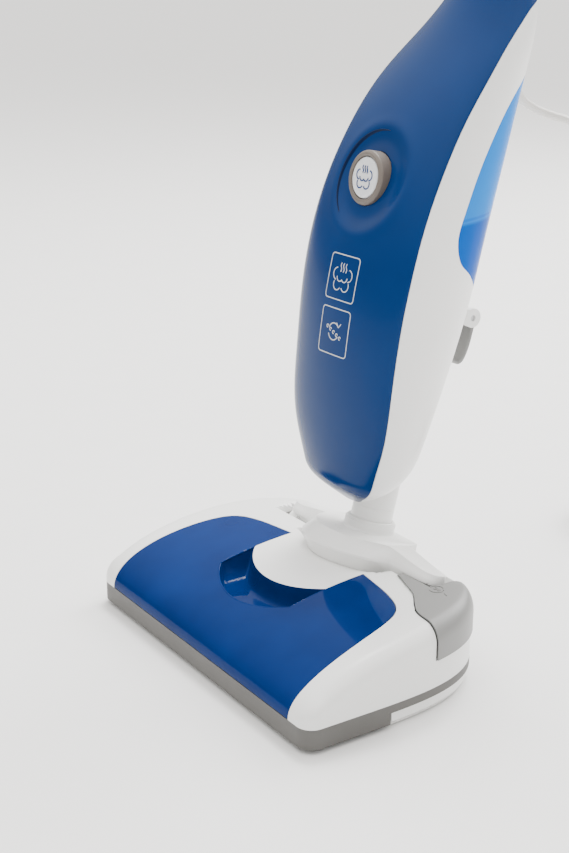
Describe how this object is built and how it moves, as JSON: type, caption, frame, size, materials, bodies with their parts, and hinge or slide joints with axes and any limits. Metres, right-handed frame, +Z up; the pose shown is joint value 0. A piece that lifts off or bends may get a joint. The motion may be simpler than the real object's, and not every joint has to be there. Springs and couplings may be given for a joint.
{
  "type": "steam mop",
  "caption": "Upright steam mop with a sweeping head, lift-out dust bin, leaning body with a clear water tank, handle and mains cord.",
  "frame": {"origin": "middle of the head's footprint, on the floor", "axes": "+X to the user's right seen from the front, -Y towards the front, +Z up"},
  "size_m": [0.3, 0.5455, 1.1161],
  "materials": {
    "chassis_grey": "satin",
    "white_shell": "gloss",
    "clear_blue": "clear gloss",
    "dark_tray": "satin",
    "steel": "brushed",
    "black_rubber": "matte",
    "pad_fabric": "terry",
    "bristle": "brush",
    "pedal_grey": "satin",
    "gloss_blue": "gloss",
    "board_green": "satin",
    "ring_dark": "satin",
    "dark_lens": "gloss",
    "white_tube": "gloss",
    "soft_grey": "soft touch",
    "cord_white": "satin",
    "button_white": "gloss",
    "clear_cyan": "clear gloss"
  },
  "bodies": {
    "head": {"chassis": "chassis_grey", "head_shell": "white_shell", "brush_bearings": "steel", "brush_motor": "steel", "drive_belt": "black_rubber", "steam_plate": "steel", "steam_pipe": "steel", "pad_plate": "white_shell", "microfibre_pad": "pad_fabric", "wheel_axles": "steel", "hinge_pins": "steel", "pedal_pin": "steel", "pedal_spring": "steel", "chassis_screws": "steel"},
    "dust_bin": {"bin_cover": "clear_blue", "bin_tray": "dark_tray"},
    "brush_roller": {"brush_core": "dark_tray", "brush_strips": "bristle", "brush_pulley": "chassis_grey"},
    "motor_rotor": {"motor_pulley": "steel", "motor_shaft": "steel"},
    "left_wheel": {"wheel_left": "black_rubber"},
    "right_wheel": {"wheel_right": "black_rubber"},
    "foot_pedal": {"pedal": "pedal_grey"},
    "hinge_yoke": {"yoke": "white_shell", "neck_ring": "white_shell"},
    "body": {"front_cover": "gloss_blue", "rear_shell": "white_shell", "neck_tube": "white_shell", "steam_hose": "black_rubber", "boiler": "steel", "pump": "dark_tray", "circuit_board": "board_green", "button_switch": "dark_tray", "inlet_valve": "black_rubber", "button_ring": "ring_dark", "button_spring": "steel", "indicator_lens": "dark_lens", "hook_bosses": "white_shell", "hook_pin": "steel", "tube_collar": "pedal_grey", "handle_tube": "white_tube", "handle_grip": "gloss_blue", "grip_insert": "soft_grey", "upper_hook_clip": "pedal_grey", "strain_relief": "cord_white", "mains_cord": "cord_white", "cord_coil": "cord_white", "cord_tie": "soft_grey", "mains_plug": "cord_white", "plug_pins": "steel"},
    "steam_switch": {"steam_button": "button_white"},
    "tank": {"water_tank": "clear_cyan", "tank_seal": "black_rubber"},
    "filler_cap": {"tank_cap": "dark_tray"},
    "lower_hook": {"lower_cord_hook": "pedal_grey"},
    "upper_hook": {"upper_cord_hook": "pedal_grey"}
  },
  "joints": [
    {"name": "recline", "type": "hinge", "parent": "head", "child": "hinge_yoke", "pos_m": [0, 0.061, 0.05625], "axis": [-1, 0, 0], "range_deg": [0, 40]},
    {"name": "neck_swivel", "type": "hinge", "parent": "hinge_yoke", "child": "body", "pos_m": [0, 0.063, 0.064], "axis": [0, 0.2504, 0.9681], "range_deg": [-45, 45]},
    {"name": "bin_lift", "type": "slide", "parent": "head", "child": "dust_bin", "axis": [0, 0, 1], "range_m": [0, 0.08]},
    {"name": "brush_spin", "type": "hinge", "parent": "head", "child": "brush_roller", "pos_m": [0, -0.06, 0.0166], "axis": [1, 0, 0], "continuous": true},
    {"name": "motor_spin", "type": "hinge", "parent": "head", "child": "motor_rotor", "pos_m": [0, 0.036, 0.035], "axis": [1, 0, 0], "continuous": true},
    {"name": "left_wheel_spin", "type": "hinge", "parent": "head", "child": "left_wheel", "pos_m": [-0.141, -0.038, 0.008], "axis": [1, 0, 0], "continuous": true},
    {"name": "right_wheel_spin", "type": "hinge", "parent": "head", "child": "right_wheel", "pos_m": [0.141, -0.038, 0.008], "axis": [1, 0, 0], "continuous": true},
    {"name": "pedal_press", "type": "hinge", "parent": "head", "child": "foot_pedal", "pos_m": [0.0965, 0.03, 0.05], "axis": [-1, 0, 0], "range_deg": [0, 4], "stiffness_Nm_per_rad": 3, "springref_deg": -5.73, "deforming": ["pedal_spring"]},
    {"name": "steam_press", "type": "slide", "parent": "body", "child": "steam_switch", "axis": [0, 0.9833, -0.1822], "range_m": [0, 0.0025], "stiffness_N_per_m": 1200, "springref_m": -0.001, "deforming": ["button_spring"]},
    {"name": "tank_tilt", "type": "hinge", "parent": "body", "child": "tank", "pos_m": [0, 0.149, 0.26073], "axis": [-1, 0, 0], "range_deg": [0, 8]},
    {"name": "cap_turn", "type": "hinge", "parent": "tank", "child": "filler_cap", "pos_m": [0, 0.11227, 0.27849], "axis": [0, 0.2504, 0.9681], "range_deg": [0, 90]},
    {"name": "lower_hook_turn", "type": "hinge", "parent": "body", "child": "lower_hook", "pos_m": [0, 0.15222, 0.23924], "axis": [1, 0, 0], "range_deg": [0, 100]},
    {"name": "upper_hook_turn", "type": "hinge", "parent": "body", "child": "upper_hook", "pos_m": [0, 0.27833, 0.89661], "axis": [0, 0.9681, -0.2504], "range_deg": [0, 180]}
  ],
  "couplings": [
    {"joint": "motor_spin", "follows": "brush_spin", "ratio": 1.5}
  ]
}
